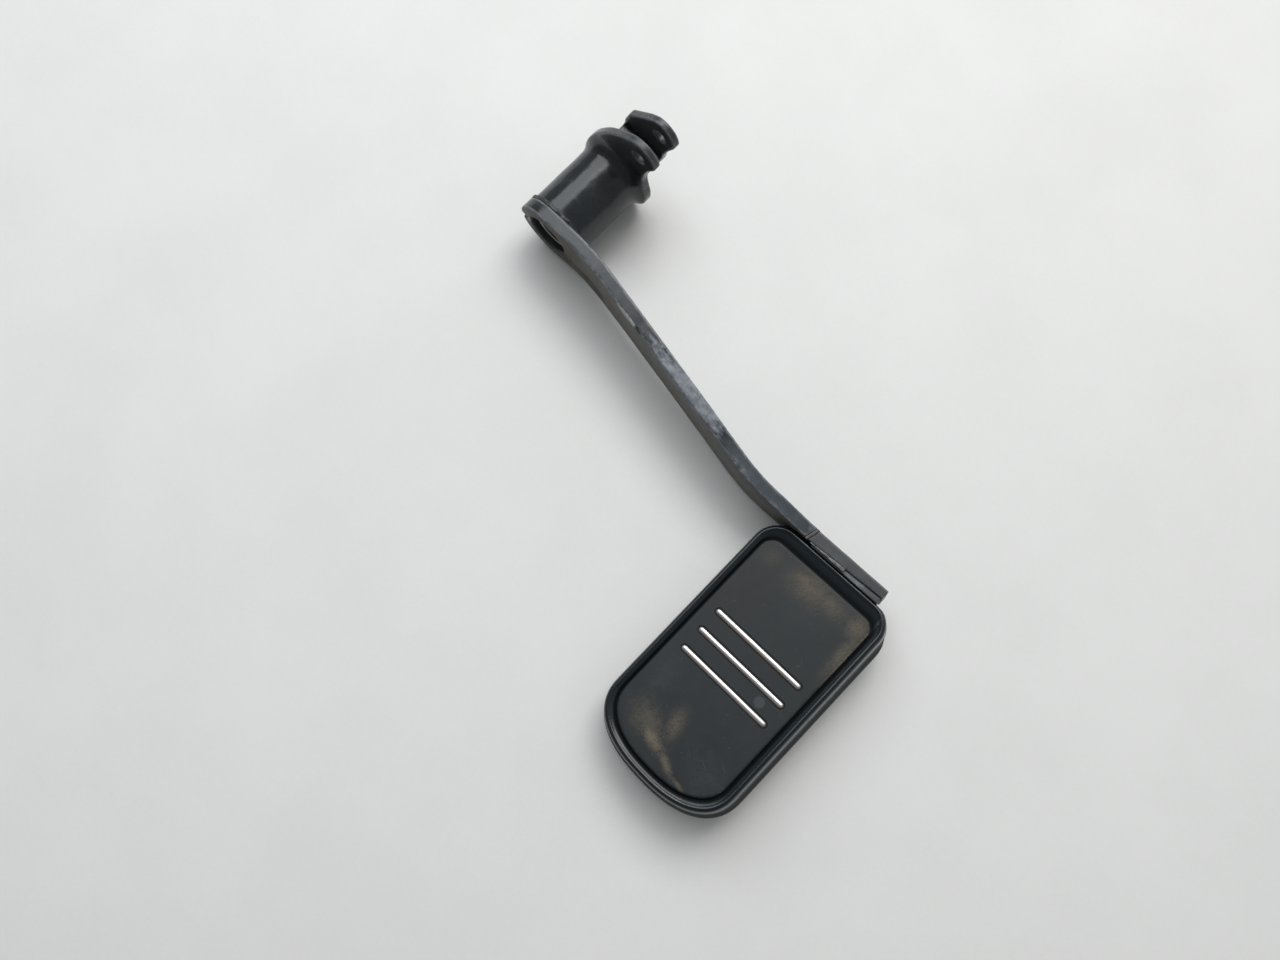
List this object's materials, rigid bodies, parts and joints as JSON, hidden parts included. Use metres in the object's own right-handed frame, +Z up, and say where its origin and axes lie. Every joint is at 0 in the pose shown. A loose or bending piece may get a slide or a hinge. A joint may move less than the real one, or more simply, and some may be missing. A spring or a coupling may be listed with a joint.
{
  "type": "rear brake pedal",
  "caption": "Rear brake pedal with a pivot tube, a push rod fork, a flat bent arm and a wide rubber foot pad with bright strips.",
  "frame": {"origin": "on the pivot axis, half way along the pivot tube", "axes": "+X forward from the pivot to the pad, +Y inboard along the pivot axis, from the arm to the fork, +Z up"},
  "size_m": [0.2453, 0.1985, 0.0595],
  "materials": {
    "black_paint": "satin black paint, dusty and scuffed to a light grey on the edges",
    "bushing": "dull worn metal",
    "black_rubber": "moulded black rubber with dust and scuffs",
    "bright_strip": "bright worn metal"
  },
  "bodies": {
    "root": {"pedal_arm": "black_paint", "pivot_hub": "black_paint", "outboard_bushing": "bushing", "inboard_bushing": "bushing", "hub_weld": "black_paint", "end_bar": "black_paint", "seam_weld": "black_paint", "pad_plate": "black_paint", "plate_weld": "black_paint", "rubber_pad": "black_rubber", "metal_strips": "bright_strip"}
  },
  "joints": []
}
